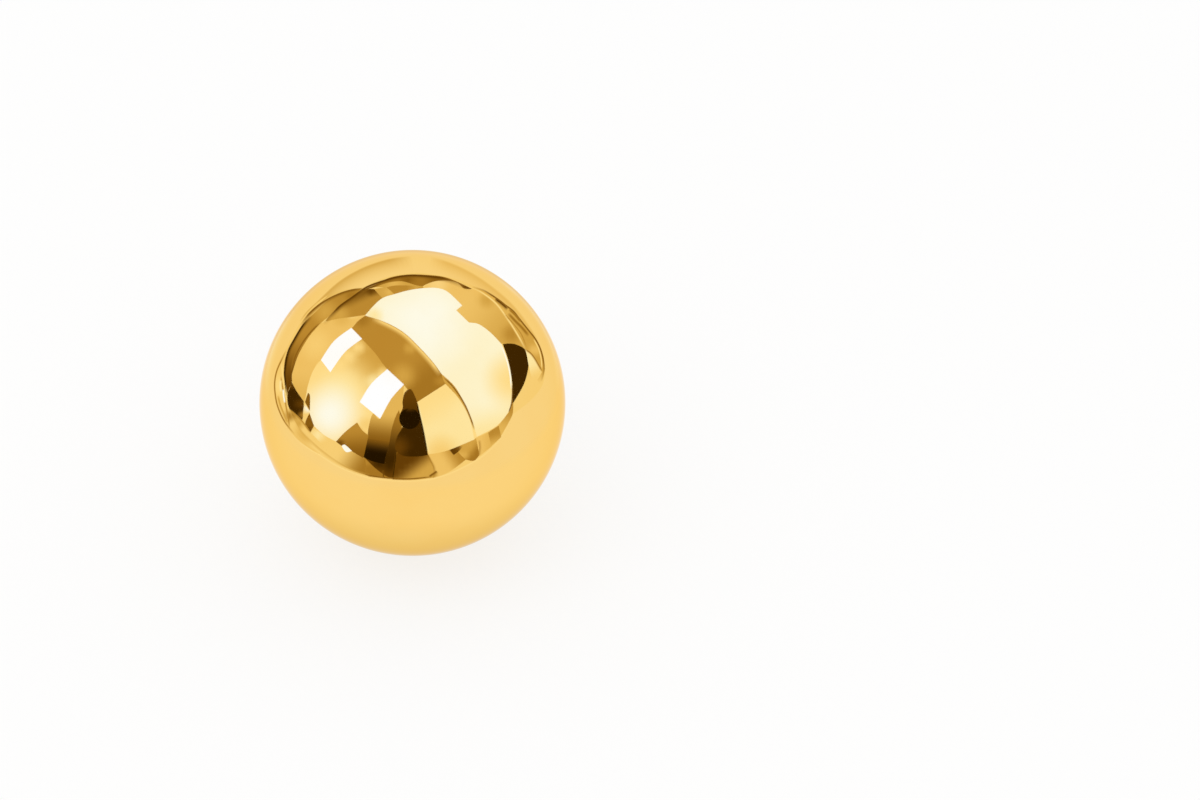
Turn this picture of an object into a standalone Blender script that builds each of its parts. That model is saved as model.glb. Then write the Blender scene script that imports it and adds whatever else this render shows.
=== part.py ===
"""Ball stud earring at rest: a hollow polished ball soldered to a plain post, and a butterfly back on the post.

Metres, +Z up. The stud lies as it would by itself on a table at Z = 0, on its ball and on the edges of its
back's two scrolls, with the ball's front towards -Y. The origin is on the table, in the middle of its length.
"""

from math import asin, atan2, cos, hypot, pi, radians, sin, sqrt

import bmesh
import bpy
from mathutils import Vector

MM = 0.001

# Ball: a thin shell, hollow, with a small vent beside the post.
BALL_DIAMETER = 12.0 * MM
BALL_WALL = 0.4 * MM
VENT_DIAMETER = 0.7 * MM
VENT_TO_FILLET = 0.5 * MM

# Ear post: round wire with a solder fillet at its foot, a friction notch and a rounded tip.
POST_DIAMETER = 0.9 * MM
POST_LENGTH = 9.5 * MM
SOLDER_FILLET = 0.35 * MM
NOTCH_WIDTH = 0.6 * MM
NOTCH_DEPTH = 0.09 * MM
NOTCH_TO_TIP = 1.5 * MM

# Butterfly back: one sprung strip, a plate with both ends rolled into scrolls that hold the post between them.
BACK_TO_BALL = 2.8 * MM
STRIP_THICKNESS = 0.3 * MM
PLATE_HEIGHT = 5.0 * MM
SCROLL_HEIGHT = 4.3 * MM
SCROLL_END_HEIGHT = 3.4 * MM
SCROLL_RADIUS = 1.1 * MM
SCROLL_TURN = radians(410)
SCROLL_GAP = 0.16 * MM
POST_CLEARANCE = 0.1 * MM

# Both pieces are yellow gold: the ball is polished like a mirror, and the back's strip is a little duller.
GOLD = (1.0, 0.69, 0.24)
BALL_ROUGHNESS = 0.04
BACK_ROUGHNESS = 0.12

# How finely round shapes are cut into facets.
BALL_SIDES = 64
BALL_RINGS = 32
CAVITY_SIDES = 40
CAVITY_RINGS = 20
HOLE_SIDES = 24
ARC_STEPS = 6
SCROLL_STEPS = 34
PLATE_STEPS = 8

BALL_RADIUS = BALL_DIAMETER / 2
POST_RADIUS = POST_DIAMETER / 2
VENT_RADIUS = VENT_DIAMETER / 2
TIP_FROM_CENTRE = BALL_RADIUS + POST_LENGTH
PLATE_FROM_CENTRE = BALL_RADIUS + BACK_TO_BALL
SMOOTH_UNDER = radians(35)


def clear_scene():
    for obj in list(bpy.data.objects):
        bpy.data.objects.remove(obj)


def metal(name, colour, roughness):
    material = bpy.data.materials.new(name)
    material.use_nodes = True
    shader = material.node_tree.nodes["Principled BSDF"]
    shader.inputs["Base Color"].default_value = (*colour, 1.0)
    shader.inputs["Metallic"].default_value = 1.0
    shader.inputs["Roughness"].default_value = roughness
    material.diffuse_color = (*colour, 1.0)
    return material


def new_object(name, bm, material=None):
    """The object that holds this bmesh, with its faces turned outwards and its round faces shaded smooth."""
    bmesh.ops.recalc_face_normals(bm, faces=bm.faces)
    mesh = bpy.data.meshes.new(name)
    bm.to_mesh(mesh)
    bm.free()
    mesh.shade_smooth()
    mesh.set_sharp_from_angle(angle=SMOOTH_UNDER)
    if material:
        mesh.materials.append(material)
    obj = bpy.data.objects.new(name, mesh)
    bpy.context.scene.collection.objects.link(obj)
    return obj


def arc(centre, radius, start, end, steps):
    """Points (distance from the axis, distance along it) on an arc, ends included. Angle 0 is straight out."""
    angles = [start + (end - start) * i / steps for i in range(steps + 1)]
    return [(centre[0] + radius * cos(a), centre[1] + radius * sin(a)) for a in angles]


def turned(name, profile, sides, material=None):
    """A profile that starts and ends on the Y axis, turned about it, with a facet at its lowest."""
    bm = bmesh.new()
    half_step = pi / sides
    verts = [bm.verts.new((r * sin(half_step), along, -r * cos(half_step))) for r, along in profile]
    edges = [bm.edges.new(pair) for pair in zip(verts, verts[1:])]
    bmesh.ops.spin(bm, geom=verts + edges, cent=(0, 0, 0), axis=(0, 1, 0), angle=2 * pi, steps=sides)
    bmesh.ops.remove_doubles(bm, verts=bm.verts, dist=1e-7)
    return new_object(name, bm, material)


def rod(name, radius, start, end):
    """A plain round rod along Y, from start to end."""
    return turned(name, [(0, start), (radius, start), (radius, end), (0, end)], HOLE_SIDES)


def cut_away(cutter, target):
    """Cuts the shape of the cutter out of the target. The cutter itself isn't part of the stud."""
    cutter.hide_render = True
    cutter.display_type = "WIRE"
    cut = target.modifiers.new(cutter.name, "BOOLEAN")
    cut.operation = "DIFFERENCE"
    cut.solver = "EXACT"
    cut.object = cutter


def fillet_centre():
    """Centre of the solder fillet, tangent to the ball and to the post."""
    out = POST_RADIUS + SOLDER_FILLET
    return out, sqrt((BALL_RADIUS + SOLDER_FILLET) ** 2 - out**2)


def outer_profile():
    """Half outline of ball and post, from the ball's front to the post's tip."""
    out, along = fillet_centre()
    foot_angle = atan2(along, out)
    ball = arc((0, 0), BALL_RADIUS, -pi / 2, foot_angle, BALL_RINGS)
    fillet = arc((out, along), SOLDER_FILLET, foot_angle - pi, -pi, ARC_STEPS)
    notch_end = TIP_FROM_CENTRE - NOTCH_TO_TIP
    notch_steps = [i / ARC_STEPS for i in range(ARC_STEPS + 1)]
    notch = [
        (POST_RADIUS - NOTCH_DEPTH * sin(pi * s), notch_end - NOTCH_WIDTH * (1 - s)) for s in notch_steps
    ]
    tip = arc((0, TIP_FROM_CENTRE - POST_RADIUS), POST_RADIUS, 0, pi / 2, ARC_STEPS)
    return ball + fillet[1:] + notch + tip


def make_ball_and_post(material):
    """The ball and its soldered post, one solid, hollow inside the ball."""
    stud = turned("ball_and_post", outer_profile(), BALL_SIDES, material)
    inside = arc((0, 0), BALL_RADIUS - BALL_WALL, -pi / 2, pi / 2, CAVITY_RINGS)
    cavity = turned("ball_cavity", inside, CAVITY_SIDES)
    cut_away(cavity, stud)
    foot_radius = fillet_centre()[0] * BALL_RADIUS / (BALL_RADIUS + SOLDER_FILLET)
    vent = rod("vent_hole", VENT_RADIUS, 0, BALL_DIAMETER)
    vent.location.z = -(foot_radius + VENT_TO_FILLET + VENT_RADIUS)
    cut_away(vent, stud)
    return [stud, cavity, vent]


def scroll_radius(turn):
    """Radius of the strip's middle line in a scroll, which winds inwards with a gap between its turns."""
    return SCROLL_RADIUS - (STRIP_THICKNESS + SCROLL_GAP) * turn / (2 * pi)


def scroll_centre():
    """Centre (across, along) of the right scroll, set so that the scroll clears the post."""
    grip_turn = 1.5 * pi
    across = POST_RADIUS + POST_CLEARANCE + STRIP_THICKNESS / 2 + scroll_radius(grip_turn)
    return across, PLATE_FROM_CENTRE + STRIP_THICKNESS / 2 + SCROLL_RADIUS


def strip_stations():
    """Right half of the strip, plate middle to scroll end: rows of (across, along, half height)."""
    centre_x, centre_y = scroll_centre()
    rows = []
    for i in range(PLATE_STEPS):
        share = i / PLATE_STEPS
        height = SCROLL_HEIGHT + (PLATE_HEIGHT - SCROLL_HEIGHT) * cos(share * pi / 2) ** 2
        rows.append((centre_x * share, centre_y - SCROLL_RADIUS, height / 2))
    for i in range(SCROLL_STEPS + 1):
        share = i / SCROLL_STEPS
        turn = SCROLL_TURN * share
        radius = scroll_radius(turn)
        height = SCROLL_HEIGHT + (SCROLL_END_HEIGHT - SCROLL_HEIGHT) * share**4
        rows.append((centre_x + radius * sin(turn), centre_y - radius * cos(turn), height / 2))
    return rows


def make_butterfly_back(material):
    """The sprung strip, lofted along its middle line, with the post's hole through its plate."""
    right = strip_stations()
    left = [(-x, y, h) for x, y, h in reversed(right[1:])]
    rows = left + right
    bm = bmesh.new()
    rings = []
    for i, (x, y, half_height) in enumerate(rows):
        before, after = rows[max(i - 1, 0)], rows[min(i + 1, len(rows) - 1)]
        heading = Vector((after[0] - before[0], after[1] - before[1])).normalized()
        side = Vector((-heading.y, heading.x)) * STRIP_THICKNESS / 2
        corners = ((1, 1), (1, -1), (-1, -1), (-1, 1))
        rings.append([bm.verts.new((x + s * side.x, y + s * side.y, z * half_height)) for s, z in corners])
    for ring, following in zip(rings, rings[1:]):
        for k in range(4):
            bm.faces.new((ring[k], ring[k - 1], following[k - 1], following[k]))
    bm.faces.new(rings[0])
    bm.faces.new(reversed(rings[-1]))
    back = new_object("butterfly_back", bm, material)
    hole_start = PLATE_FROM_CENTRE - STRIP_THICKNESS / 2
    hole = rod("post_hole", POST_RADIUS + POST_CLEARANCE, hole_start, hole_start + 2 * STRIP_THICKNESS)
    cut_away(hole, back)
    return [back, hole]


def rest_tilt():
    """How far the post slopes down at rest: the least slope at which its tip or the back meets the table."""
    slopes = [asin((BALL_RADIUS - POST_RADIUS) / (TIP_FROM_CENTRE - POST_RADIUS))]
    for _, along, half_height in strip_stations():
        rear = along + STRIP_THICKNESS / 2
        slopes.append(asin(BALL_RADIUS / hypot(rear, half_height)) - atan2(half_height, rear))
    return min(slopes)


def main():
    clear_scene()
    pieces = make_ball_and_post(metal("polished_gold", GOLD, BALL_ROUGHNESS))
    pieces += make_butterfly_back(metal("back_gold", GOLD, BACK_ROUGHNESS))
    tilt = rest_tilt()
    tip_reach = (TIP_FROM_CENTRE - POST_RADIUS) * cos(tilt) + POST_RADIUS
    stud_rest = bpy.data.objects.new("stud_rest", None)
    bpy.context.scene.collection.objects.link(stud_rest)
    stud_rest.location = (0, (BALL_RADIUS - tip_reach) / 2, BALL_RADIUS)
    stud_rest.rotation_euler.x = -tilt
    for piece in pieces:
        piece.parent = stud_rest
    bpy.context.view_layer.update()


main()
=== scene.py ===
import bpy
import bmesh
from math import asin, atan2, cos, hypot, pi, radians, sin, sqrt
from mathutils import Matrix, Vector
from mathutils.geometry import tessellate_polygon


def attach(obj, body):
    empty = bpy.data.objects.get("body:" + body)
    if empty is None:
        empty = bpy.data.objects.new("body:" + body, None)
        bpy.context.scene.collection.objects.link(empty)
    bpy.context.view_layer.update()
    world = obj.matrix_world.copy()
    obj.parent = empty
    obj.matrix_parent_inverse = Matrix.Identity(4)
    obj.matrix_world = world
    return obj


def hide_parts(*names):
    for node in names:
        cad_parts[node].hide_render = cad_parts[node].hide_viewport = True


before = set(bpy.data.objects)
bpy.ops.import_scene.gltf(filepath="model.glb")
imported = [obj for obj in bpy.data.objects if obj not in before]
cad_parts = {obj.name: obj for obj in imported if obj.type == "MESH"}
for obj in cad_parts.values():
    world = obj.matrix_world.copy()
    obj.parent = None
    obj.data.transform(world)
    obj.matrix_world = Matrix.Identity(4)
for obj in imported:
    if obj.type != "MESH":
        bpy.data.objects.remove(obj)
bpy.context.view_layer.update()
mm = 0.001

print("1. sizes")
# all lengths are real sizes, as in the model that this one dresses
ball = {
    "radius": 6.0 * mm,
    "wall": 0.4 * mm,
    "vent": 0.35 * mm,          # radius of the little hole beside the post
    "ventToFillet": 0.5 * mm,
    "sides": 240,
    "rings": 150,
    "hollowSteps": 40,
    "hollowSides": 80,
    "ventSides": 32,
}
post = {
    "radius": 0.45 * mm,
    "length": 9.5 * mm,
    "fillet": 0.35 * mm,        # solder at the post's foot
    "notchWidth": 0.6 * mm,
    "notchDepth": 0.09 * mm,
    "notchToTip": 1.5 * mm,
    "steps": 14,
    "solderSpread": 0.3 * mm,   # the solder thins out over this length
    "spreadRings": 3,
}
back = {
    "toBall": 2.8 * mm,
    "thickness": 0.3 * mm,
    "plateHeight": 5.0 * mm,
    "scrollHeight": 4.3 * mm,
    "endHeight": 3.4 * mm,
    "scrollRadius": 1.1 * mm,
    "turn": radians(410),
    "gap": 0.16 * mm,
    "clearance": 0.1 * mm,
    "edgeRound": 0.06 * mm,
    "dimple": 1.25 * mm,        # shallow stamped hollow round the hole: its radius and depth
    "dimpleDepth": 0.13 * mm,
    "sideSteps": 24,
    "plateSteps": 30,
    "scrollSteps": 120,
    "edgeSteps": 3,
    "boreSides": 48,
    "restSteps": (8, 34),       # steps of the solid's strip, which sets how the stud rests
}
sharpAngle = radians(35)        # edges steeper than this stay crisp
onAxis = 1e-9
tipReach = ball["radius"] + post["length"]
plateReach = ball["radius"] + back["toBall"]


def arc(centre, radius, start, end, steps):
    # (out from the axis, along it), both ends included
    turns = [start + (end - start) * i / steps for i in range(steps + 1)]
    return [(centre[0] + radius * cos(t), centre[1] + radius * sin(t)) for t in turns]


def scrollRadius(turn):
    # each turn of the strip lies a thickness and a gap inside the last
    return back["scrollRadius"] - (back["thickness"] + back["gap"]) * turn / (2 * pi)


def scrollCentre():
    grip = scrollRadius(1.5 * pi)       # three quarters round, the scroll meets the post
    across = post["radius"] + back["clearance"] + back["thickness"] / 2 + grip
    return across, plateReach + back["thickness"] / 2 + back["scrollRadius"]


def stripHalf(plateSteps, scrollSteps):
    # right half of the strip: across, along and half its height
    cx, cy = scrollCentre()
    rows = []
    for i in range(plateSteps):
        share = i / plateSteps
        extra = (back["plateHeight"] - back["scrollHeight"]) * cos(share * pi / 2) ** 2
        rows.append((cx * share, cy - back["scrollRadius"], (back["scrollHeight"] + extra) / 2))
    for i in range(scrollSteps + 1):
        share = i / scrollSteps
        turn = back["turn"] * share
        radius = scrollRadius(turn)
        height = back["scrollHeight"] + (back["endHeight"] - back["scrollHeight"]) * share**4
        rows.append((cx + radius * sin(turn), cy - radius * cos(turn), height / 2))
    return rows


def restSlope():
    # the post sinks until its tip or the back meets the table
    slopes = [asin((ball["radius"] - post["radius"]) / (tipReach - post["radius"]))]
    for _, along, half in stripHalf(*back["restSteps"]):
        rear = along + back["thickness"] / 2
        slopes.append(asin(ball["radius"] / hypot(rear, half)) - atan2(half, rear))
    return min(slopes)


slope = restSlope()
lengthAtRest = ball["radius"] + (tipReach - post["radius"]) * cos(slope) + post["radius"]
ballCentre = Vector((0, ball["radius"] - lengthAtRest / 2, ball["radius"]))
toRest = Matrix.Translation(ballCentre) @ Matrix.Rotation(-slope, 4, "X")

print("2. camera")
# where the ball stands in the 1200 x 800 frame, and how far above the table it is seen from
view = {
    "frameWidth": 1200,
    "frameHeight": 800,
    "ballX": 412.5,
    "ballY": 402.9,
    "ballRadius": 153.1,
    "above": radians(39),
    "lens": 200,
    "sensor": 36,
    "clipStart": 10 * mm,
    "clipEnd": 5,
}


def placed(name, data):
    obj = bpy.data.objects.new(name, data)
    bpy.context.scene.collection.objects.link(obj)
    return obj


toCamera = Vector((0, -cos(view["above"]), sin(view["above"])))
rightWay = Vector((1, 0, 0))
upWay = Vector((0, sin(view["above"]), cos(view["above"])))
focal = view["lens"] / view["sensor"] * view["frameWidth"]
distance = ball["radius"] * sqrt(1 + (focal / view["ballRadius"]) ** 2)
perPixel = distance / focal
aim = ballCentre + rightWay * (view["frameWidth"] / 2 - view["ballX"]) * perPixel
aim += upWay * (view["ballY"] - view["frameHeight"] / 2) * perPixel
eye = aim + toCamera * distance
lens = bpy.data.cameras.new("camera")
lens.lens = view["lens"]
lens.sensor_width = view["sensor"]
lens.clip_start = view["clipStart"]
lens.clip_end = view["clipEnd"]
camera = placed("camera", lens)
camera.matrix_world = Matrix.Translation(eye) @ Matrix((rightWay, upWay, toCamera)).transposed().to_4x4()
bpy.context.scene.camera = camera
bpy.context.scene.view_settings.view_transform = "Standard"


def shaderNodes(name):
    mat = bpy.data.materials.new(name)
    mat.use_nodes = True
    nodes = mat.node_tree.nodes
    nodes.clear()
    out = nodes.new("ShaderNodeOutputMaterial")
    return mat, nodes, mat.node_tree.links, out


def addNode(nodes, kind, values=None, **settings):
    node = nodes.new("ShaderNode" + kind)
    for name, value in settings.items():
        setattr(node, name, value)
    for socket, value in (values or {}).items():
        node.inputs[socket].default_value = value
    return node


def noiseAt(nodes, links, place, scale, detail, rough=0.5):
    marks = addNode(nodes, "TexNoise", {"Scale": scale, "Detail": detail, "Roughness": rough})
    links.new(place, marks.inputs["Vector"])
    return marks.outputs["Fac"]


def rangeOf(nodes, links, value, low, high, start=0, end=1, kind="LINEAR"):
    values = {"From Min": low, "From Max": high, "To Min": start, "To Max": end}
    fade = addNode(nodes, "MapRange", values, interpolation_type=kind)
    links.new(value, fade.inputs["Value"])
    return fade.outputs["Result"]


def colourBetween(nodes, links, share, first, second):
    # the first colour is a set one or comes from another node
    blend = addNode(nodes, "Mix", {"B": (*second, 1)}, data_type="RGBA")
    if isinstance(first, tuple):
        blend.inputs["A"].default_value = (*first, 1)
    else:
        links.new(first, blend.inputs["A"])
    links.new(share, blend.inputs["Factor"])
    return blend.outputs["Result"]


def shaderBetween(nodes, links, share, first, second):
    mixed = addNode(nodes, "MixShader")
    links.new(share, mixed.inputs["Fac"])
    links.new(first, mixed.inputs[1])
    links.new(second, mixed.inputs[2])
    return mixed.outputs["Shader"]


def bumped(nodes, links, height, depth, under=None, share=None):
    # a bump over another one, all over or only where a mark says so
    bump = addNode(nodes, "Bump", {"Distance": depth, "Strength": 1.0})
    links.new(height, bump.inputs["Height"])
    if under is not None:
        links.new(under, bump.inputs["Normal"])
    if share is not None:
        links.new(share, bump.inputs["Strength"])
    return bump.outputs["Normal"]


print("3. gold")
goldPolish = {
    "colour": (1.0, 0.67, 0.21),
    "warmer": (1.0, 0.645, 0.185),   # where the alloy reads a touch redder
    "edge": (0.98, 0.83, 0.55),      # seen at a low angle it stays gold
    "smooth": 0.025,
    "hazy": 0.05,                    # handled and wiped spots
    "grain": (0.5, 0.07, 0.5),       # how far the marks of wiping run each way, in millimetres
    "grainTurn": (0.3, 0.2, 0.5),
    "grainDepth": 0.00002 * mm,
    "orangePeel": 0.00025 * mm,
    "marks": {"wire": ((1.0, 0.66, 0.20), 0.13), "solder": ((0.95, 0.72, 0.34), 0.17)},
}
goldStrip = {
    "colour": (1.0, 0.67, 0.21),
    "warmer": (0.97, 0.60, 0.17),
    "edge": (0.98, 0.83, 0.55),
    "smooth": 0.10,
    "hazy": 0.24,
    "grain": (1.2, 1.2, 0.03),       # rolled lines run along the strip
    "grainTurn": (-slope, 0, 0),
    "grainDepth": 0.0014 * mm,
    "orangePeel": 0.003 * mm,
    "marks": {"edge": ((1.0, 0.70, 0.26), -0.06), "stamped": ((0.98, 0.66, 0.24), 0.08)},
}
drawnWire = {"grain": (0.05, 1.6, 0.05), "depth": 0.0012 * mm}
goldNoise = {
    "patches": (0.35, 3),            # scale in marks per millimetre, detail and roughness
    "patchRange": (0.45, 0.8),
    "haze": (0.8, 6, 0.65),
    "hazeRange": (0.42, 0.75),
    "lines": (1.0, 4),
    "peel": (0.9, 1),
}


def stretchedNoise(nodes, links, place, grain, turn):
    # noise drawn out into fine lines
    lines = addNode(nodes, "Mapping", {"Scale": grain, "Rotation": turn}, vector_type="TEXTURE")
    links.new(place, lines.inputs["Vector"])
    return noiseAt(nodes, links, lines.outputs["Vector"], *goldNoise["lines"])


def makeGold(name, look):
    mat, nodes, links, out = shaderNodes(name)
    shader = addNode(nodes, "BsdfPrincipled", {"Metallic": 1.0, "Specular Tint": (*look["edge"], 1)})
    scaled = addNode(nodes, "Mapping", {"Scale": (1 / mm, 1 / mm, 1 / mm)})
    links.new(addNode(nodes, "TexCoord").outputs["Object"], scaled.inputs["Vector"])
    place = scaled.outputs["Vector"]
    patches = noiseAt(nodes, links, place, *goldNoise["patches"])
    share = rangeOf(nodes, links, patches, *goldNoise["patchRange"])
    tinted = colourBetween(nodes, links, share, look["colour"], look["warmer"])
    haze = noiseAt(nodes, links, place, *goldNoise["haze"])
    rough = rangeOf(nodes, links, haze, *goldNoise["hazeRange"], look["smooth"], look["hazy"])
    # parts of the piece with a finish of their own, marked on its mesh
    markOf = {}
    for mark, (colour, rougher) in look["marks"].items():
        markOf[mark] = addNode(nodes, "Attribute", attribute_name=mark).outputs["Fac"]
        tinted = colourBetween(nodes, links, markOf[mark], tinted, colour)
        more = addNode(nodes, "Math", {1: rougher}, operation="MULTIPLY_ADD")
        links.new(markOf[mark], more.inputs[0])
        links.new(rough, more.inputs[2])
        rough = more.outputs["Value"]
    links.new(tinted, shader.inputs["Base Color"])
    links.new(rough, shader.inputs["Roughness"])
    wipes = stretchedNoise(nodes, links, place, look["grain"], look["grainTurn"])
    surface = bumped(nodes, links, wipes, look["grainDepth"])
    peel = noiseAt(nodes, links, place, *goldNoise["peel"])
    surface = bumped(nodes, links, peel, look["orangePeel"], surface)
    if "wire" in markOf:
        drawn = stretchedNoise(nodes, links, place, drawnWire["grain"], (-slope, 0, 0))
        surface = bumped(nodes, links, drawn, drawnWire["depth"], surface, markOf["wire"])
    links.new(surface, shader.inputs["Normal"])
    links.new(shader.outputs["BSDF"], out.inputs["Surface"])
    return mat


mirrorGold = makeGold("mirror gold", goldPolish)
stripGold = makeGold("rolled strip gold", goldStrip)


def meshFrom(name, bm, mat=None):
    mesh = bpy.data.meshes.new(name)
    bm.to_mesh(mesh)
    bm.free()
    if mat:
        mesh.materials.append(mat)
    return mesh


def smoothFaces(mesh):
    mesh.shade_smooth()
    mesh.set_sharp_from_angle(angle=sharpAngle)


def newPiece(name, bm, mat=None):
    bmesh.ops.recalc_face_normals(bm, faces=bm.faces)
    mesh = meshFrom(name, bm, mat)
    smoothFaces(mesh)
    return placed(name, mesh)


def turned(name, profile, sides, mat=None):
    # a profile turned about the post's axis, which is Y here
    bm = bmesh.new()
    rows = []
    for out, along in profile:
        if out < onAxis:
            rows.append([bm.verts.new((0, along, 0))])
            continue
        ring = [2 * pi * (k + 0.5) / sides for k in range(sides)]
        rows.append([bm.verts.new((out * sin(t), along, -out * cos(t))) for t in ring])
    for first, second in zip(rows, rows[1:]):
        for k in range(sides):
            beside = (k + 1) % sides
            if len(first) == 1:
                bm.faces.new((first[0], second[k], second[beside]))
            elif len(second) == 1:
                bm.faces.new((first[k], second[0], first[beside]))
            else:
                bm.faces.new((first[k], second[k], second[beside], first[beside]))
    return newPiece(name, bm, mat)


def rodProfile(radius, start, end):
    return [(0, start), (radius, start), (radius, end), (0, end)]


def joinRings(bm, rings):
    # faces from each closed ring to the next
    for ring, following in zip(rings, rings[1:]):
        for k in range(len(ring)):
            bm.faces.new((ring[k], ring[k - 1], following[k - 1], following[k]))


def cutWith(target, cutters):
    # bores are cut for good, so that the mesh is final
    for cutter in cutters:
        cut = target.modifiers.new(cutter.name, "BOOLEAN")
        cut.operation = "DIFFERENCE"
        cut.solver = "EXACT"
        cut.object = cutter
    ready = target.evaluated_get(bpy.context.evaluated_depsgraph_get())
    mesh = bpy.data.meshes.new_from_object(ready)
    target.modifiers.clear()
    target.data = mesh
    for cutter in cutters:
        bpy.data.objects.remove(cutter)


print("4. ball and post")


def filletCentre():
    out = post["radius"] + post["fillet"]
    return out, sqrt((ball["radius"] + post["fillet"]) ** 2 - out**2)


def studProfile():
    out, along = filletCentre()
    foot = atan2(along, out)
    steps = post["steps"]
    line = arc((0, 0), ball["radius"], -pi / 2, foot, ball["rings"])
    line += arc((out, along), post["fillet"], foot - pi, -pi, steps)[1:]
    for k in range(1, post["spreadRings"] + 1):
        line.append((post["radius"], along + post["solderSpread"] * k / post["spreadRings"]))
    notchEnd = tipReach - post["notchToTip"]
    for i in range(steps + 1):
        share = i / steps
        dip = post["notchDepth"] * sin(pi * share)
        line.append((post["radius"] - dip, notchEnd - post["notchWidth"] * (1 - share)))
    line += arc((0, tipReach - post["radius"]), post["radius"], 0, pi / 2, steps)
    return line


def footRadius():
    # where the solder ends on the ball
    return filletCentre()[0] * ball["radius"] / (ball["radius"] + post["fillet"])


def markStud(mesh):
    # for the material: solder round the post's foot, then bare drawn wire
    along = filletCentre()[1]
    foot = footRadius()
    wire = mesh.attributes.new("wire", "FLOAT", "POINT")
    solder = mesh.attributes.new("solder", "FLOAT", "POINT")
    for vert, onWire, onSolder in zip(mesh.vertices, wire.data, solder.data):
        reach = hypot(vert.co.x, vert.co.z)
        beyond = max(reach - foot, vert.co.y - along) / post["solderSpread"]
        if vert.co.y > 0:
            onSolder.value = min(1, max(0, 1 - beyond))
        if reach < foot:
            onWire.value = min(1, max(0, (vert.co.y - along) / post["solderSpread"]))


def buildStud():
    stud = turned("ball_with_post", studProfile(), ball["sides"], mirrorGold)
    inner = ball["radius"] - ball["wall"]
    hollow = turned("hollow", arc((0, 0), inner, -pi / 2, pi / 2, ball["hollowSteps"]), ball["hollowSides"])
    vent = turned("vent", rodProfile(ball["vent"], 0, 2 * ball["radius"]), ball["ventSides"])
    vent.location.z = -(footRadius() + ball["ventToFillet"] + ball["vent"])
    bpy.context.view_layer.update()
    cutWith(stud, [hollow, vent])
    smoothFaces(stud.data)
    markStud(stud.data)
    stud.data.transform(toRest)
    return stud


stud = buildStud()
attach(stud, "root")
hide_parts("ball_and_post")

print("5. butterfly back")


def stripSection(half, thickness, rounding):
    # outline across the strip: through its thickness, up its height, and whether on a rounded edge
    deep = thickness / 2 - rounding
    high = half - rounding
    steps = back["sideSteps"]
    corners = ((deep, high, 0), (-deep, high, pi / 2), (-deep, -high, pi), (deep, -high, 1.5 * pi))
    ring = []
    for cx, cz, start in corners:
        for i in range(back["edgeSteps"] + 1):
            t = start + pi / 2 * i / back["edgeSteps"]
            ring.append((cx + rounding * cos(t), cz + rounding * sin(t), 1))
        if cx * cz < 0:
            # along the flat side, from this rounded edge to the next
            side = cx + cx / deep * rounding
            ring += [(side, cz * (1 - 2 * i / steps), 0) for i in range(1, steps)]
    return ring


def stamped(x, y, z):
    # how much of the dimple's depth lies here
    away = hypot(x, z) / back["dimple"]
    onScroll = y > plateReach + 1.5 * back["thickness"]
    if away > 1 or onScroll:
        return 0
    return (1 - away * away) ** 2


def buildBack():
    right = stripHalf(back["plateSteps"], back["scrollSteps"])
    rows = [(-x, y, h) for x, y, h in reversed(right[1:])] + right
    bm = bmesh.new()
    edge = bm.verts.layers.float.new("edge")
    dimple = bm.verts.layers.float.new("stamped")
    rings = []
    for i, (x, y, half) in enumerate(rows):
        before, after = rows[max(i - 1, 0)], rows[min(i + 1, len(rows) - 1)]
        heading = Vector((after[0] - before[0], after[1] - before[1])).normalized()
        side = Vector((-heading.y, heading.x))
        ring = []
        for s, z, onEdge in stripSection(half, back["thickness"], back["edgeRound"]):
            vert = bm.verts.new((x + s * side.x, y + s * side.y, z))
            vert[edge] = onEdge
            vert[dimple] = stamped(vert.co.x, vert.co.y, z)
            vert.co.y += vert[dimple] * back["dimpleDepth"]
            ring.append(vert)
        rings.append(ring)
    joinRings(bm, rings)
    bm.faces.new(rings[0])
    bm.faces.new(reversed(rings[-1]))
    strip = newPiece("butterfly_strip", bm, stripGold)
    bore = post["radius"] + back["clearance"]
    rod = rodProfile(bore, plateReach - back["thickness"], plateReach + 2 * back["thickness"])
    cutWith(strip, [turned("bore", rod, back["boreSides"])])
    smoothFaces(strip.data)
    strip.data.transform(toRest)
    return strip


strip = buildBack()
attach(strip, "root")
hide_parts("butterfly_back")

print("6. studio")
# The gold is a mirror, so its look comes from glowing cards round the ball, seen only in the gold:
# a painted reflection of a room, with its lights, shade and highlights, which lights nothing else.
# Each outline is drawn in pixels of the frame, where the ball shows the card, and each tone is the one
# that the gold takes from it.
room = {
    "radius": 0.6,          # how far the cards stand from the ball
    "step": 0.012,          # each next layer stands this share nearer
    "cell": 5,              # cards are split this finely, in pixels
    "rim": 0.995,           # as near the ball's rim as a card may show
    "fade": 0.15,           # this share of a line fades in, and out again
    "domeRadius": 0.66,
    "domeCuts": 5,
}
# painted rim shade: a darker glowing card that the gold shows at its rim
rim = {
    "layer": 12,
    "tone": "corn",
    "start": 0.98,          # where the card begins and is full, as shares of the ball's radius
    "full": 0.993,
    "sides": 96,
}
# the tones that the cards give in the gold, from light to dark
tones = {
    "white": (255, 255, 255),
    "ivory": (254, 251, 233),
    "cream": (254, 243, 203),
    "butter": (254, 230, 162),
    "straw": (254, 219, 136),
    "paper": (249, 210, 128),
    "honey": (247, 206, 117),
    "corn": (239, 193, 101),
    "gold": (228, 180, 86),
    "amber": (212, 163, 70),
    "caramel": (188, 137, 49),
    "toffee": (166, 116, 34),
    "brown": (136, 90, 19),
    "umber": (100, 61, 7),
    "bark": (62, 36, 1),
    "black": (34, 18, 0),
}
corner = True               # a third value that keeps an outline's point sharp


def linear(value):
    # the sRGB curve, from a screen's tone to an amount of light
    share = value / 255
    return share / 12.92 if share <= 0.04045 else ((share + 0.055) / 1.055) ** 2.4


def lightFor(tone):
    # the light that this gold shows as the tone
    return [linear(v) / g for v, g in zip(tone, goldPolish["colour"])]


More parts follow.
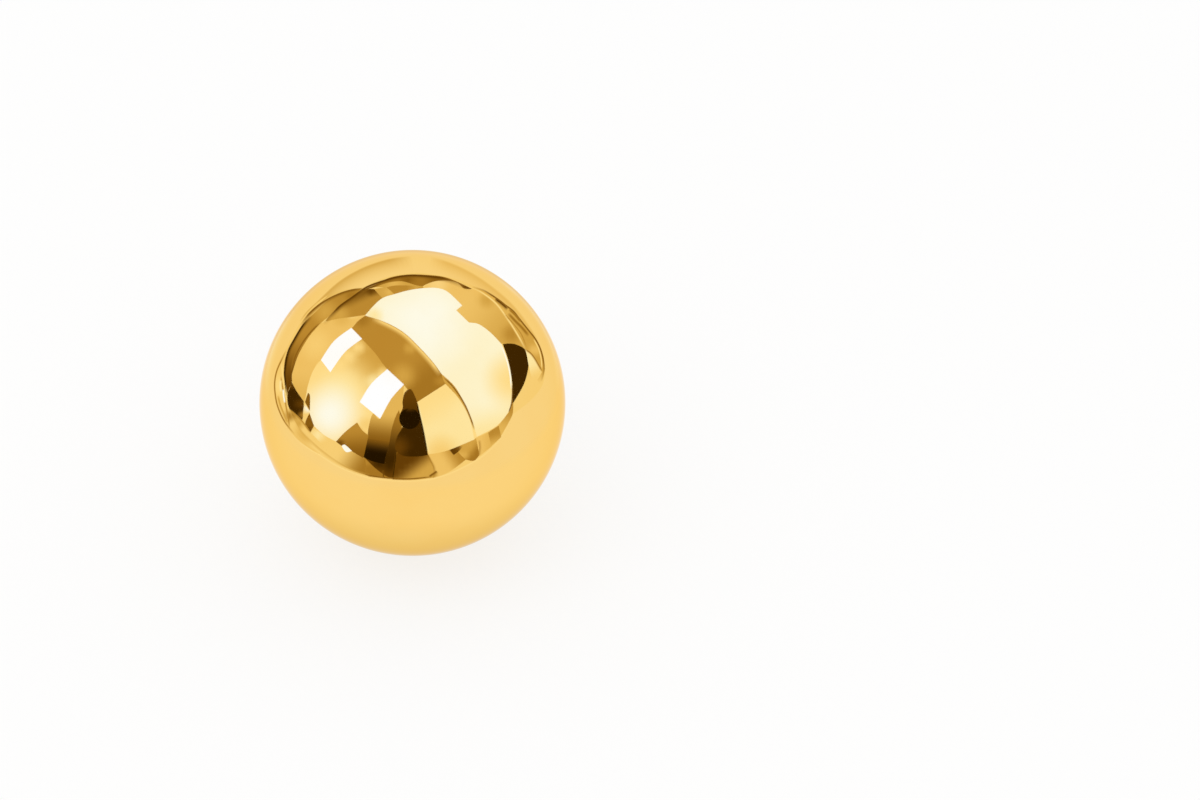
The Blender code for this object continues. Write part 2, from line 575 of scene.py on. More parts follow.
def spotSeen(px, py, radius):
    # where the ray through a pixel goes after the ball: a place at this distance from its centre
    ray = (rightWay * (px - view["frameWidth"] / 2) + upWay * (view["frameHeight"] / 2 - py)
           - toCamera * focal).normalized()
    toBall = ballCentre - eye
    beside = ray * toBall.dot(ray) - toBall
    limit = ball["radius"] * room["rim"]
    if beside.length > limit:
        beside *= limit / beside.length
        ray = (toBall + beside).normalized()
        beside = ray * toBall.dot(ray) - toBall
    hit = beside - ray * sqrt(ball["radius"] ** 2 - beside.length_squared)
    facing = hit / ball["radius"]
    onward = ray - 2 * ray.dot(facing) * facing
    along = hit.dot(onward)
    return ballCentre + hit + onward * (sqrt(along**2 + radius**2 - ball["radius"] ** 2) - along)


def onlyMirrored(obj):
    obj.visible_camera = False
    obj.visible_diffuse = False
    obj.visible_transmission = False
    obj.visible_volume_scatter = False
    obj.visible_shadow = False


def glowMaterial(name, fading):
    mat, nodes, links, out = shaderNodes(name)
    tint = addNode(nodes, "VertexColor", layer_name="light")
    glow = addNode(nodes, "Emission")
    links.new(tint.outputs["Color"], glow.inputs["Color"])
    shown = glow.outputs["Emission"]
    if fading:
        clear = addNode(nodes, "BsdfTransparent").outputs["BSDF"]
        shown = shaderBetween(nodes, links, tint.outputs["Alpha"], clear, shown)
    links.new(shown, out.inputs["Surface"])
    return mat


cardGlow = glowMaterial("studio card", False)
edgeGlow = glowMaterial("studio edge", True)


def smoothed(points, closed=True, pieces=5):
    # a curve through given points; those marked as a corner stay sharp
    spots = [Vector(p[:2]) for p in points]
    count = len(spots)

    def at(k):
        return k % count if closed else min(max(k, 0), count - 1)

    line = []
    for i in range(count if closed else count - 1):
        before, here, there, after = (spots[at(i + k)] for k in (-1, 0, 1, 2))
        if len(points[at(i)]) == 3:
            before = here
        if len(points[at(i + 1)]) == 3:
            after = there
        for k in range(pieces):
            t = k / pieces
            bend = 2 * before - 5 * here + 4 * there - after
            turn = 3 * here - 3 * there + after - before
            line.append(0.5 * (2 * here + (there - before) * t + bend * t * t + turn * t**3))
    if not closed:
        line.append(spots[-1])
    return line


def roundOutline(x, y, radius, count=16):
    return arc((x, y), radius, 0, 2 * pi, count)[:-1]


def toneAt(spot, tone, towards, soft):
    # the card's tone, which may turn into another along a line and into others on soft spots
    mixed = Vector(tones[tone])
    if towards:
        startX, startY, endX, endY, other = towards
        way = Vector((endX - startX, endY - startY))
        share = min(1, max(0, (spot - Vector((startX, startY))).dot(way) / way.length_squared))
        mixed = mixed.lerp(Vector(tones[other]), share * share * (3 - 2 * share))
    for x, y, reach, other in soft:
        away = (spot - Vector((x, y))).length / reach
        share = max(0, 1 - away * away) ** 2
        mixed = mixed.lerp(Vector(tones[other]), share)
    return mixed


def hang(name, bm, colours, mat):
    mesh = meshFrom(name, bm, mat)
    light = mesh.color_attributes.new("light", "FLOAT_COLOR", "POINT")
    for value, colour in zip(light.data, colours):
        value.color = colour
    onlyMirrored(placed(name, mesh))


def hangCard(name, tone, layer, outline, towards=None, soft=()):
    line = smoothed(outline)
    bm = bmesh.new()
    verts = [bm.verts.new((p.x, p.y, 0)) for p in line]
    for corners in tessellate_polygon([[v.co for v in verts]]):
        bm.faces.new([verts[k] for k in corners])
    for axis in (0, 1):
        low = min(v.co[axis] for v in bm.verts)
        high = max(v.co[axis] for v in bm.verts)
        for i in range(1, int((high - low) / room["cell"]) + 1):
            point = [0, 0, 0]
            normal = [0, 0, 0]
            point[axis] = low + i * room["cell"]
            normal[axis] = 1
            geometry = bm.verts[:] + bm.edges[:] + bm.faces[:]
            bmesh.ops.bisect_plane(bm, geom=geometry, plane_co=point, plane_no=normal)
    colours = [(*lightFor(toneAt(v.co.to_2d(), tone, towards, soft)), 1) for v in bm.verts]
    radius = room["radius"] * (1 - room["step"] * layer)
    for vert in bm.verts:
        vert.co = spotSeen(vert.co.x, vert.co.y, radius)
    hang(name, bm, colours, cardGlow)


def hangLine(name, tone, layer, line, left=0.6, right=1, core=0.4, beside="amber", strength=1):
    # a fine line or a soft fold: core is half its full width, left and right are how far it fades out
    spots = smoothed(line, closed=False)
    radius = room["radius"] * (1 - room["step"] * layer)
    middle = lightFor(tones[tone])
    edge = lightFor(tones[beside])
    bm = bmesh.new()
    rows = []
    colours = []
    for i, spot in enumerate(spots):
        heading = (spots[min(i + 1, len(spots) - 1)] - spots[max(i - 1, 0)]).normalized()
        side = Vector((-heading.y, heading.x))
        share = i / (len(spots) - 1)
        alpha = strength * min(1, share / room["fade"], (1 - share) / room["fade"])
        row = []
        for reach, light, see in ((-core - left, edge, 0), (-core, middle, alpha),
                                  (core, middle, alpha), (core + right, edge, 0)):
            place = spot + side * reach
            row.append(bm.verts.new(spotSeen(place.x, place.y, radius)))
            colours.append((*light, see))
        rows.append(row)
    for first, second in zip(rows, rows[1:]):
        for k in range(len(first) - 1):
            bm.faces.new((first[k], first[k + 1], second[k + 1], second[k]))
    hang(name, bm, colours, edgeGlow)


def hangPaintedRimShade():
    # a darker glowing card straight behind the ball, which paints shade on the gold's rim
    radius = room["radius"] * (1 - room["step"] * rim["layer"])
    bm = bmesh.new()
    rows = []
    colours = []
    for share, see in ((rim["start"], 0), (rim["full"], 1), (room["rim"], 1)):
        outline = roundOutline(view["ballX"], view["ballY"], share * view["ballRadius"], rim["sides"])
        rows.append([bm.verts.new(spotSeen(x, y, radius)) for x, y in outline])
        colours += [(*lightFor(tones[rim["tone"]]), see)] * rim["sides"]
    joinRings(bm, rows)
    bm.faces.new(rows[-1])
    hang("painted_rim_shade", bm, colours, edgeGlow)


def hangDome():
    # white sweep all round, seen only in the gold
    bm = bmesh.new()
    bmesh.ops.create_icosphere(bm, subdivisions=room["domeCuts"], radius=room["domeRadius"])
    bmesh.ops.translate(bm, verts=bm.verts, vec=ballCentre)
    hang("white_sweep", bm, [(*lightFor(tones["paper"]), 1)] * len(bm.verts), cardGlow)


hangDome()
hangPaintedRimShade()

# wide cards, from the sweep inwards
hangCard("surround_card", "honey", layer=1, outline=[
    (401, 480), (384, 478.5), (370, 477), (354, 472), (337, 464.5), (321, 454.5), (309, 447.5),
    (297, 439), (288, 428), (284, 419), (279, 408), (275.5, 397), (274, 384), (275.5, 373), (279, 361),
    (285.5, 350), (293, 335), (307, 313), (325, 297), (343, 290), (363, 287.5, corner), (384, 278),
    (408, 273.5), (426, 273.5), (452, 278), (475, 286.5), (498, 299), (518, 317), (534, 337), (542, 354),
    (545, 370), (542, 386), (530, 401), (513, 414, corner), (500.5, 437), (487, 451), (474, 460.5),
    (452, 471.5), (433, 477.5)],
    soft=[(281, 386, 14, "straw"), (290, 416, 8, "toffee"), (305, 434, 16, "gold"),
          (322, 446, 12, "straw"), (530, 350, 30, "gold")])
hangCard("surround_shade", "honey", layer=2, outline=[
    (314, 428, corner), (324, 435), (336, 441.6), (349, 450), (363.4, 457.5, corner), (366, 466),
    (368.5, 476, corner), (354, 471), (337, 463), (322, 453), (311, 443), (308, 434)],
    towards=(338, 452, 364, 470, "toffee"), soft=[(318, 435, 10, "butter")])
hangCard("left_flag", "caramel", layer=2, outline=[
    (284, 369, corner), (285.5, 357.5), (292, 342), (303.5, 324), (316, 311.5), (329, 300), (345, 292),
    (362, 288, corner), (357, 293), (347, 300), (338, 307), (330, 315.5), (321, 323), (310, 336),
    (299, 355), (292.3, 373), (292, 382), (289, 389), (287.6, 394.5, corner), (285.5, 381)],
    towards=(310, 332, 287, 390, "umber"), soft=[(325, 312, 18, "amber"), (351, 294, 10, "toffee")])
hangCard("left_card", "corn", layer=4, outline=[
    (292, 374, corner), (298.4, 354.8), (309.8, 335.7), (321.3, 323, corner), (336.6, 319),
    (354.5, 316.6), (366, 314.7, corner), (352, 328), (362, 339), (345, 352), (321, 360), (314, 369),
    (309.5, 380), (306.5, 393, corner), (304, 401.5, corner), (297, 393), (292.3, 382)],
    towards=(304, 368, 301, 396, "gold"),
    soft=[(316, 344, 24, "honey"), (342, 317, 14, "gold"), (354, 317, 4, "straw")])
hangCard("glow_card", "straw", layer=5, outline=[
    (321, 360, corner), (314, 369), (309.5, 380), (306.5, 393), (307.5, 405), (310, 414),
    (314, 426, corner), (324, 435), (336, 441.6, corner), (357, 422.4, corner), (366, 431), (369, 427),
    (373, 413.5), (385, 405), (404, 385, corner), (387, 369), (375, 353), (362, 339, corner), (352, 328)],
    towards=(344, 380, 372, 352, "amber"),
    soft=[(340, 394, 34, "butter"), (330, 415, 42, "ivory"), (366, 425, 12, "honey"),
          (358, 347, 11, "straw"), (348, 356, 13, "straw"), (339, 366, 10, "straw"),
          (384, 374, 11, "straw"), (374, 382, 12, "butter")])
hangCard("shaded_card", "caramel", layer=6, outline=[
    (366, 315, corner), (385, 322), (402.5, 331.5), (417.3, 345), (432, 361), (441.5, 373.8),
    (445.5, 383.9, corner), (417.3, 402, corner), (404, 385, corner), (387, 369), (375, 353),
    (362, 339, corner), (352, 328, corner), (358, 321)], towards=(414, 354, 432, 378, "toffee"),
    soft=[(362, 319, 12, "toffee"), (403, 376, 18, "amber"), (410, 348, 9, "amber"),
          (441, 381, 8, "caramel")])
hangCard("amber_card", "corn", layer=4, outline=[
    (423, 287.8, corner), (430, 283), (440, 280.8), (450, 281), (457, 283), (464, 288.5), (476, 290),
    (490, 299), (504, 313.5), (514, 328.5), (522, 343), (526, 351, corner), (517, 345.5),
    (503, 344, corner), (470, 330), (440, 300)], towards=(462, 300, 516, 342, "amber"),
    soft=[(437, 284, 16, "paper"), (512, 334, 14, "caramel"), (487, 300, 12, "amber")])
hangCard("right_fold_card", "gold", layer=3, outline=[
    (472, 287, corner), (483, 290.3), (498.8, 299.7), (513.3, 311), (529, 330.6), (538.3, 343.8),
    (543.6, 358.3), (544.9, 369, corner), (541, 385), (534, 372), (525.5, 350), (516, 332),
    (506.7, 317.5), (493.6, 301), (482, 293)], towards=(500, 305, 530, 340, "amber"),
    soft=[(535, 350, 9, "corn"), (541, 384, 16, "honey")])
hangCard("right_bright_gap", "butter", layer=9, outline=[
    (525.2, 349.3, corner), (530.4, 353), (534.4, 358.3), (538.3, 364.8), (542, 372, corner), (537, 380),
    (532, 378), (528.8, 366), (527, 356)], towards=(530, 362, 537, 378, "honey"))
hangCard("lit_card", "butter", layer=8, outline=[
    (445.5, 383.9, corner), (417.3, 402, corner), (423, 428), (428.7, 454.2, corner), (440, 452.5),
    (452.2, 448.8), (474.3, 439.5, corner), (469.6, 418.7), (458.9, 398.6)],
    towards=(450, 424, 428, 396, "straw"), soft=[(441, 455, 27, "honey")])

# the bounce card and two softbox cards, which glow only in the gold: painted reflections that light nothing
hangCard("bounce_card", "cream", layer=7, outline=[
    (365.1, 315.5, corner), (373.1, 306.2), (382.5, 298.1), (394.6, 294.1), (409.3, 290.1), (424, 288.1),
    (437.4, 288.1), (448.1, 292.1), (462.2, 305.5, corner), (456.2, 310.2, corner),
    (468.9, 322.5, corner), (479, 324.3), (491, 333), (501.7, 344.3, corner), (508.4, 362.4),
    (511.8, 381.2), (511.5, 401.3), (508.4, 412), (496.4, 426.1), (476.9, 436.8, corner), (473.6, 425.4),
    (465.6, 405.3), (454.8, 386.5), (441.5, 373.8, corner), (432.1, 361.1), (417.3, 345), (402.6, 331.6),
    (385.2, 322.2)], towards=(476, 400, 486, 434, "butter"),
    soft=[(422, 322, 68, "ivory"), (512, 380, 36, "straw"), (374, 316, 12, "butter")])
hangCard("softbox_high_reflection", "white", layer=9, outline=[
    (351.4, 327.8, corner), (362.1, 338.8, corner), (345, 352), (330.3, 372.2, corner),
    (320.9, 359.9, corner), (334, 341)])
hangCard("softbox_low_reflection", "white", layer=9, outline=[
    (387.2, 369.1, corner), (403.9, 384.5, corner), (391, 399), (380.1, 418.7, corner),
    (359.7, 402, corner), (371, 384)])

# flags and strips above, to the left and to the right
hangCard("brown_flag", "caramel", layer=3, outline=[
    (326, 321), (334, 311), (341, 304.3), (349, 298.7), (360, 291), (366, 289), (374, 289, corner),
    (383, 297.5, corner), (376, 304), (366, 314.7, corner), (352, 317.5), (337, 319)],
    towards=(358, 306, 352, 292, "umber"),
    soft=[(340, 315, 14, "amber"), (331, 318, 8, "amber"), (372, 290, 8, "umber")])
hangCard("top_flag", "toffee", layer=2, outline=[
    (363, 290, corner), (376, 284.5), (390, 277.5), (408.5, 274.6), (431.4, 275.2), (449.3, 278.4),
    (472, 288.8, corner), (467, 289.6), (463, 288), (457, 282.6), (448, 280.7), (436.5, 281),
    (427.6, 283.7), (422.5, 286.5, corner), (414.8, 284.9), (402, 281.3), (388, 282.6), (375.3, 287)],
    soft=[(407, 278, 10, "brown"), (436, 278, 13, "brown"), (467, 287, 8, "umber"),
          (452, 280, 6, "caramel"), (370, 288, 12, "umber")])
hangCard("top_strip", "amber", layer=3, outline=[
    (375.3, 287, corner), (388, 282.6), (402, 281.3), (414.8, 284.9), (422.5, 286.5, corner), (424, 288),
    (410, 285.6), (395, 285.5), (386, 287.4)], soft=[(394, 284, 12, "gold")])
hangCard("top_dark_strip", "caramel", layer=4, outline=[
    (386.5, 287.4, corner), (395, 285.5), (410, 285.6), (424, 287.8, corner), (410, 290.4), (402.6, 292),
    (395, 294.6, corner)], soft=[(416, 288, 8, "amber")])
hangCard("top_gap_card", "amber", layer=3.5, outline=[
    (374, 289, corner), (387, 287, corner), (396, 294.6, corner), (383, 299, corner)],
    soft=[(389, 292, 8, "gold")])
hangCard("left_black_flag", "bark", layer=6, outline=[
    (292, 382.5, corner), (296.5, 391), (303.8, 401.5, corner), (303.5, 411), (302.4, 420, corner),
    (297, 415.6), (289.5, 409, corner), (287.6, 403), (287.6, 394)],
    soft=[(301, 404, 8, "umber"), (302, 415, 6, "toffee"), (291, 386, 5, "umber")])
hangCard("left_step_card", "honey", layer=5, outline=[
    (290, 409.5, corner), (299.9, 417), (302.4, 420.4), (310.4, 432.4, corner), (322, 444), (336, 455),
    (322, 453), (310.4, 440.8), (301.3, 431), (294.3, 419.7)],
    soft=[(292.5, 415, 9, "toffee"), (298, 423, 9, "amber")])
hangCard("left_sliver_card", "honey", layer=7, outline=[
    (304.4, 402.6, corner), (309.8, 412.5, corner), (307, 416.5), (304.7, 424.3, corner), (303, 414)],
    soft=[(307, 409, 6, "ivory")])
hangCard("left_wedge_high", "brown", layer=7, outline=[
    (307.9, 392.8, corner), (310, 396), (309.8, 411, corner), (305, 402, corner)])
hangCard("left_wedge_low", "brown", layer=7, outline=[
    (309.5, 413, corner), (314, 425.8, corner), (310.4, 432.4, corner), (305, 424.3)],
    soft=[(309, 430, 5, "umber")])
hangCard("right_black_flag", "bark", layer=8, outline=[
    (502.8, 344.2, corner), (508, 343.5), (514.6, 344), (521.2, 346.6), (525.4, 349.6, corner),
    (527, 356), (528.5, 366), (524, 384), (512.6, 404, corner), (512.2, 384), (508.6, 362)])
hangCard("bounce_frame", "amber", layer=8, outline=[
    (441.5, 373.8, corner), (445.5, 383.9), (458.9, 398.6), (469.6, 418.7), (474.3, 439.5, corner),
    (476.9, 436.8, corner), (473.6, 425.4), (465.6, 405.3), (454.8, 386.5)],
    towards=(458, 396, 475, 434, "straw"))

# low cards in front
hangCard("low_dark_card", "gold", layer=7, outline=[
    (373, 413.5), (368.5, 427.6), (367.2, 440.3), (363.4, 457.5, corner), (373, 461.5),
    (383.8, 463.9, corner), (388, 458), (396, 456), (400, 440), (402, 420), (403, 400),
    (404, 385, corner), (391, 399), (380, 418.7)], towards=(382, 411, 378, 443, "brown"))
hangCard("low_dark_end", "brown", layer=7.5, outline=[
    (366.8, 438.5, corner), (363.4, 457.5, corner), (373, 461.5), (383.8, 463.9, corner),
    (396, 456, corner), (398, 443, corner)], towards=(379, 438, 376.5, 454, "black"))
hangCard("low_dark_fold", "toffee", layer=8, outline=[
    (384, 464, corner), (386.5, 453), (389.5, 442), (391.5, 430), (395, 418), (399, 410, corner),
    (402, 430), (397, 446), (396, 462, corner)], towards=(396, 416, 389, 460, "bark"))
hangCard("middle_flag", "umber", layer=9, outline=[
    (410, 389), (404.5, 393), (402.5, 402), (402.7, 408), (399.5, 415.5), (400, 422), (402.4, 427),
    (397.6, 435.7), (395, 444.6), (396.3, 451), (404, 456), (419, 456.4), (428, 454.8, corner),
    (423, 428), (417.3, 402, corner), (413.5, 393)], towards=(408, 393, 412, 434, "bark"),
    soft=[(398, 447, 17, "umber"), (409, 453, 6, "bark")])
hangCard("middle_round_flag", "black", layer=10, outline=roundOutline(409.6, 418.7, 10.4),
    soft=[(411, 407, 7, "umber")])
hangCard("low_left_card", "caramel", layer=8, outline=[
    (357, 422.4, corner), (345, 432), (336, 441.6, corner), (341.7, 446, corner), (349.4, 449.9),
    (363.4, 458.2, corner), (368.5, 435.2, corner), (362.1, 430.1)],
    towards=(357, 428, 359, 456, "brown"), soft=[(339, 443, 5, "umber")])
hangCard("low_left_light", "ivory", layer=9, outline=[
    (341.5, 446, corner), (345, 444.8), (352, 451, corner), (346, 452)])
hangCard("front_card_left", "toffee", layer=4, outline=[
    (363.5, 455, corner), (392, 455, corner), (393, 479, corner), (384, 478.4), (368.5, 476.5, corner),
    (366, 466)], soft=[(366, 462, 6, "caramel")])
hangCard("front_flag", "umber", layer=5, outline=[
    (364, 457, corner), (384, 462, corner), (388, 453), (396, 445, corner), (396.4, 455), (395, 466),
    (392.5, 478.5, corner), (386, 476), (375, 468)], soft=[(390, 464, 13, "bark"), (378, 463, 8, "bark")])
hangCard("front_card_middle", "umber", layer=5, outline=[
    (395.5, 448, corner), (404, 452), (427, 452, corner), (431, 460), (434, 468), (433, 477.7, corner),
    (413, 480), (392.6, 479.5, corner)], towards=(410, 460, 421, 474, "amber"))
hangCard("front_card_right", "corn", layer=4, outline=[
    (424, 450, corner), (440, 450), (451, 447, corner), (466, 444), (466, 459.5, corner), (455, 468),
    (445, 474), (433, 478, corner), (430, 470), (428, 462)], towards=(444, 464, 459, 455, "caramel"),
    soft=[(432.5, 475, 5, "toffee")])
hangCard("front_wedge", "umber", layer=6, outline=[
    (449, 449.4, corner), (457, 446), (463, 446.5, corner), (459, 451), (453.7, 455, corner)],
    towards=(457, 450, 464, 449, "amber"))
hangCard("side_card_left", "amber", layer=5, outline=[
    (456, 446, corner), (465.5, 442.5), (476, 438, corner), (479.5, 455, corner), (474, 460.7),
    (466, 459.7, corner), (459, 453)], towards=(470, 446, 478, 452, "toffee"),
    soft=[(463, 455, 6, "gold")])
hangCard("side_card_middle", "corn", layer=5, outline=[
    (476, 438, corner), (489, 432, corner), (491.6, 446.4, corner), (479.5, 456, corner)],
    towards=(482, 444, 489, 444, "gold"))
hangCard("side_flag", "caramel", layer=6, outline=[
    (488.2, 432.4, corner), (498.6, 425.5, corner), (501.3, 437, corner), (491.2, 446.4, corner)],
    towards=(493, 432, 497, 446, "gold"))
hangCard("side_edge_flag", "caramel", layer=5, outline=[
    (498, 426, corner), (509, 412, corner), (512.5, 400), (513, 412), (509.5, 421), (500.4, 437, corner)],
    towards=(511, 404, 502, 432, "gold"))

# fine lines and soft folds
hangLine("sweep_fold", "amber", layer=0.5, line=[
    (300, 322), (308, 312), (317, 303.5), (339, 283), (363, 269), (388, 260.5), (412, 257)],
    left=1.5, right=15, core=0.5, beside="corn", strength=0.8)
hangLine("sweep_fold_right", "gold", layer=0.5, line=[
    (430, 258), (448, 263.5), (467, 272), (487.5, 285), (512, 306), (532, 333), (541, 352)],
    left=2, right=15, core=0.5, beside="corn", strength=0.7)
hangLine("sweep_light_right", "butter", layer=0.3, line=[
    (496, 276), (512, 288), (526, 301), (542, 323), (553, 346), (559, 370), (560, 392)],
    left=8, right=4, core=1, beside="straw", strength=0.7)
hangLine("sweep_light_left", "butter", layer=0.3, line=[
    (265, 425), (263.6, 403), (265, 380), (270, 356), (279, 332), (292, 308)],
    left=3, right=6, core=1, beside="straw", strength=0.6)
hangLine("left_flag_edge", "bark", layer=8, line=[
    (287, 398), (285.2, 383), (284.6, 371), (288, 352), (295, 338), (303, 325), (311, 316)],
    right=2.5, core=0.5, beside="brown")
hangLine("left_flag_inner_edge", "brown", layer=8, line=[
    (291.8, 371), (295, 357.5), (302, 344), (311, 332), (320, 323)],
    left=1.5, right=0.4, core=0.3, beside="caramel")
hangLine("left_outline", "brown", layer=8, line=[
    (300, 326), (308.7, 314), (318, 305.5), (325, 300.8), (335, 295.6), (345, 291.7), (355, 289.3),
    (364, 288.4)], left=0.5, right=3, core=0.5, beside="caramel")
hangLine("top_flag_edge", "umber", layer=8, line=[
    (323, 324), (333, 313), (341, 305), (353, 296.6), (367.4, 286.6), (387.7, 279.4), (400, 276.4),
    (412, 275.2), (430, 276.4), (449, 279.6), (471, 289)], left=0.5, right=3.5, core=0.5, beside="toffee")
hangLine("left_outer_line", "toffee", layer=8, line=[
    (286.5, 350), (281.3, 360.5), (276.8, 371), (274.8, 381.6), (275, 392), (277, 404), (281.6, 416),
    (287, 425), (294.5, 434)], right=0.8, core=0.35)
hangLine("left_outer_fold", "corn", layer=7.5, line=[
    (284, 420), (290, 430), (299, 440), (309, 447.6), (320, 454.5)],
    left=3, right=0.4, core=0.3, beside="honey", strength=0.8)
hangLine("left_fine_line", "caramel", layer=8, line=[
    (281, 376), (282, 384), (284.6, 397), (286.4, 408), (288.6, 420), (289.6, 428)],
    core=0.35, beside="gold")
hangLine("left_light_line", "straw", layer=8, line=[
    (281.6, 362), (282.4, 372), (284, 383), (285.6, 394), (286.6, 402)],
    left=0.8, right=0.8, beside="honey")
hangLine("left_fine_line_two", "amber", layer=8, line=[
    (278, 395), (280.4, 405), (284, 414), (288, 424)], left=0.8, right=1.6, beside="corn")
hangLine("left_glint", "ivory", layer=9, line=[
    (283.2, 389), (283.7, 396), (284.8, 403)], left=0.8, right=0.8, core=0.5, beside="straw")
hangLine("left_glint_two", "butter", layer=9, line=[
    (280.6, 380), (280.4, 386), (281, 392)], left=1, core=0.7, beside="honey")
hangLine("surround_glint", "straw", layer=8, line=[
    (288.3, 427.6), (298, 440.4), (308.7, 448.6), (321, 456), (337, 466), (354, 473.2), (370, 478.2),
    (384, 480), (401, 481.3), (418, 480.7), (433, 478.8), (452, 472.6), (474, 461.8), (487, 452.4),
    (500.8, 438.4), (510, 421)], core=0.3, beside="paper", strength=0.8)
hangLine("step_line", "amber", layer=8, line=[
    (290.5, 412), (300, 429), (311, 441), (323, 451.5), (337, 461.5), (354, 470.5), (372, 475.5)],
    left=1, right=2.5, core=0.3, beside="corn", strength=0.5)
hangLine("step_line_upper", "caramel", layer=8, line=[
    (289.6, 409.4), (297, 415.8), (303, 422), (311, 433)], left=0.4, right=1.6, core=0.35, beside="gold")
hangLine("bounce_border", "honey", layer=9, line=[
    (372, 318.5), (385.2, 323.6), (402, 332.8), (416.6, 346.2), (431.4, 362.3), (440.8, 375)],
    left=1, right=4, core=0.5)
hangLine("bounce_rim", "ivory", layer=9, line=[
    (501.5, 346), (504.6, 354), (507.8, 364), (510.2, 376), (511.2, 390)],
    left=1, right=0.4, beside="butter")
hangLine("bounce_rim_shade", "umber", layer=9, line=[
    (512.2, 384), (512.4, 394), (511.4, 404), (508.6, 412.6)],
    left=0.5, right=0.5, core=0.3, beside="toffee")
hangLine("lit_card_edge", "butter", layer=11, line=[
    (418.6, 405), (424.2, 428), (428.8, 453)], left=0.4, right=0.6, beside="straw")
hangLine("middle_flag_edge", "black", layer=10.5, line=[
    (416.8, 404), (422.4, 428), (427.4, 453)], left=1.4, right=0.2, beside="bark")
hangLine("frame_line", "brown", layer=11, line=[
    (443, 377), (453, 386.6), (463.4, 402), (469.8, 416), (474.6, 430)], right=0.8, beside="caramel")
hangLine("seam_left", "toffee", layer=9, line=[
    (364, 457), (365.6, 466), (367.4, 476)], core=0.35, beside="caramel")
hangLine("seam_middle", "bark", layer=9, line=[
    (396.2, 450), (395, 462), (392.6, 480)], right=0.6, beside="brown")
hangLine("seam_low", "brown", layer=9, line=[
    (364, 474.4), (384, 477.6), (408, 479), (433, 476.6)],
    left=0.8, right=0.3, core=0.35, beside="caramel")
hangLine("seam_right", "toffee", layer=9, line=[
    (427, 455), (431, 461.6), (434, 468), (434.6, 475)], left=2, strength=0.6)
hangLine("seam_right_foot", "brown", layer=9.5, line=[
    (429, 476.6), (432, 474.6), (435, 472.6), (437, 471)], left=1.2, right=2, core=0.5)
hangLine("seam_short", "umber", layer=9, line=[
    (383, 469.6), (383.5, 474), (383.4, 478.4)], left=0.5, right=0.8, core=0.35, beside="toffee")
hangLine("seam_side", "toffee", layer=9, line=[
    (479, 440), (479.8, 448), (478.6, 456)], left=2, right=0.6, strength=0.6)
hangLine("right_outline", "brown", layer=8, line=[
    (472, 286.4), (483.1, 290), (490.9, 294.5), (498.8, 299.8), (505.4, 305), (513.3, 311),
    (518.6, 317.6), (523.8, 324.2), (529.1, 330.8), (534.4, 337.4), (538.3, 344), (541.2, 351),
    (543.4, 360), (544, 371), (541, 382)], left=0.5, right=1.2, core=0.45)
hangLine("right_streak", "umber", layer=8.5, line=[
    (495, 298.6), (501, 303), (508, 309)], left=1.2, right=2.6, beside="caramel")
hangLine("right_streak_two", "toffee", layer=8.5, line=[
    (509, 309), (515, 314.6), (521, 322)], right=1.5, core=0.6)
hangLine("right_shade", "toffee", layer=8, line=[
    (508, 313), (515, 320.6), (522, 327.6), (529, 336)], left=1.5, right=2, core=0.7)
hangLine("right_light_line", "straw", layer=9, line=[
    (472.5, 287.6), (482, 292.5), (493.6, 301), (500.2, 308.3), (506.7, 317.5), (512, 325.4),
    (519.9, 338.5), (525.8, 349.7)], right=1.2, core=0.35, beside="corn")
hangLine("right_fine_line", "caramel", layer=9, line=[
    (503, 312.4), (510.7, 320.6), (518.6, 330), (522.5, 336.5), (526.5, 347)], core=0.3, beside="gold")
hangLine("right_inner_light", "straw", layer=9, line=[
    (533.4, 338.6), (538.4, 348), (541.2, 358.6), (541.9, 369)], right=0.8, core=0.3, beside="corn")
hangLine("right_gap_edge", "toffee", layer=10, line=[
    (524.6, 349), (530.4, 352.8), (534.6, 358), (538.5, 364.6), (542.4, 371.6)],
    left=0.5, right=1.5, core=0.35, beside="gold")

print("7. table and light")
table = {
    "size": 3.0,
    "tone": (0.2, 0.2, 0.2),
    "glow": 0.78,               # keeps the shadow faint, as on a lit white table
    "mirroredTone": (0.86, 0.86, 0.855),
    "mirroredGlow": 0.13,
    "foot": 2 * mm,             # painted shadow: the table darkens towards the ball's foot
    "open": 9 * mm,
    "paintedFootShadow": 0.84,
    "near": 15 * mm,            # the part of the table that the gold mirrors
    "far": 21 * mm,
    "mirroredSize": 46.2 * mm,  # a square that reaches just past it
    "grain": (900, 3),          # of the paper: scale and detail
    "grainShade": 0.99,
}
warmWhite = (1, 0.998, 0.995, 1)


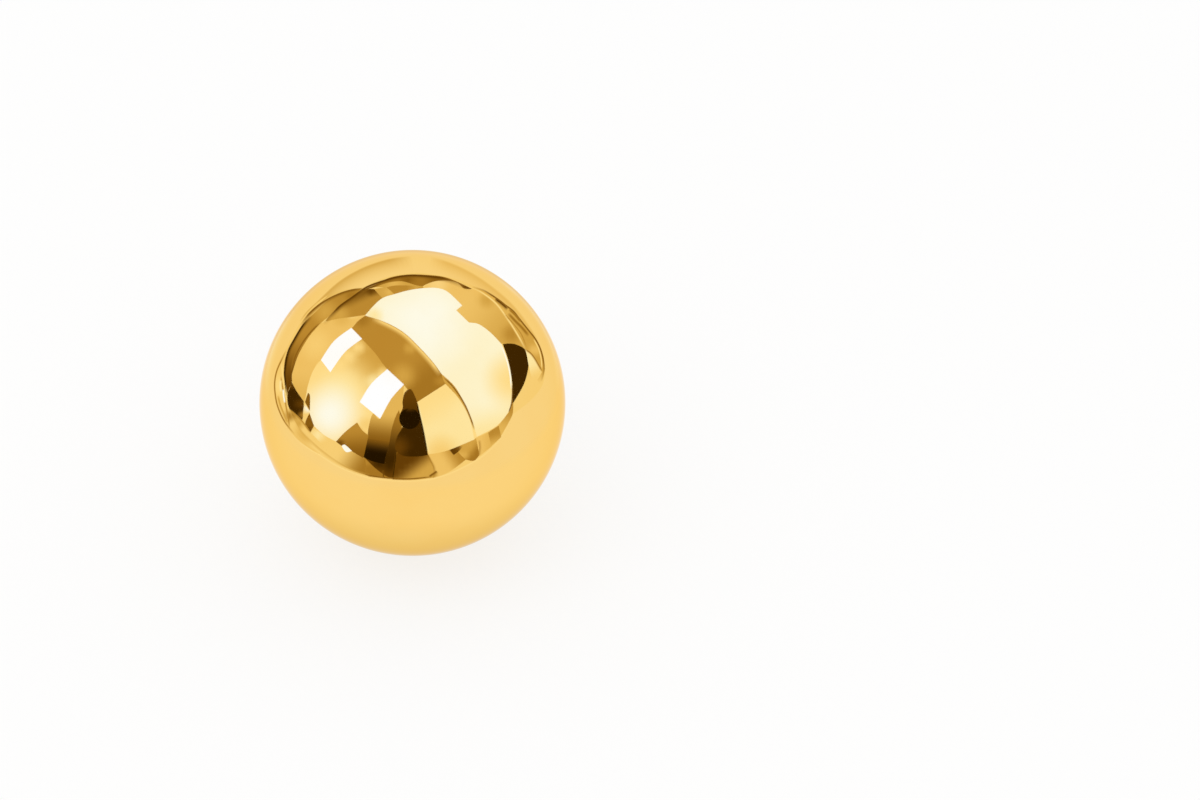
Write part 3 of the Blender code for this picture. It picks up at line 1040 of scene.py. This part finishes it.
def tableMaterial(name, tone, strength):
    mat, nodes, links, out = shaderNodes(name)
    place = addNode(nodes, "TexCoord").outputs["Object"]
    grain = noiseAt(nodes, links, place, *table["grain"])
    darker = tuple(v * table["grainShade"] for v in tone)
    paper = addNode(nodes, "BsdfDiffuse")
    links.new(colourBetween(nodes, links, grain, tone, darker), paper.inputs["Color"])
    glow = addNode(nodes, "Emission", {"Color": warmWhite, "Strength": strength})
    both = addNode(nodes, "AddShader")
    links.new(paper.outputs["BSDF"], both.inputs[0])
    links.new(glow.outputs["Emission"], both.inputs[1])
    links.new(both.outputs["Shader"], out.inputs["Surface"])
    return mat, nodes, links, out, place, both.outputs["Shader"]


def fadedTable():
    # the near part of the table, with a painted shadow at the ball's foot, fading out towards its edge
    mat, nodes, links, out, place, lit = tableMaterial(
        "white table near", table["mirroredTone"], table["mirroredGlow"])
    reach = addNode(nodes, "VectorMath", operation="LENGTH")
    links.new(place, reach.inputs[0])
    away = reach.outputs["Value"]
    black = addNode(nodes, "Emission", {"Strength": 0}).outputs["Emission"]
    clear = addNode(nodes, "BsdfTransparent").outputs["BSDF"]
    dark = 1 - table["paintedFootShadow"]
    # painted shadow: the table is mixed towards black near the ball's foot
    shade = rangeOf(nodes, links, away, table["foot"], table["open"], dark, 0, "SMOOTHSTEP")
    shaded = shaderBetween(nodes, links, shade, lit, black)
    fade = rangeOf(nodes, links, away, table["near"], table["far"], 0, 1, "SMOOTHSTEP")
    links.new(shaderBetween(nodes, links, fade, shaded, clear), out.inputs["Surface"])
    return mat


def flatSquare(name, size, mat):
    bm = bmesh.new()
    bmesh.ops.create_grid(bm, size=size / 2)
    return placed(name, meshFrom(name, bm, mat))


whiteTable = tableMaterial("white table", table["tone"], table["glow"])[0]
tableTop = flatSquare("table", table["size"], whiteTable)
tableTop.visible_glossy = False
mirroredTable = flatSquare("table_in_the_gold", table["mirroredSize"], fadedTable())
mirroredTable.location = (ballCentre.x, ballCentre.y, 0)
onlyMirrored(mirroredTable)

world = bpy.data.worlds.new("studio")
world.use_nodes = True
backdrop = world.node_tree.nodes["Background"]
backdrop.inputs["Color"].default_value = warmWhite
backdrop.inputs["Strength"].default_value = 1.0
bpy.context.scene.world = world

softbox = {"size": 0.35, "power": 0.25, "way": Vector((-0.5, -0.45, 0.9)), "away": 0.5}
lamp = bpy.data.lights.new("softbox", "AREA")
lamp.size = softbox["size"]
lamp.energy = softbox["power"]
softLight = placed("softbox", lamp)
softLight.location = softbox["way"].normalized() * softbox["away"]
softLight.rotation_euler = softbox["way"].to_track_quat("Z", "Y").to_euler()
softLight.visible_glossy = False
softLight.visible_camera = False

print("8. finished")
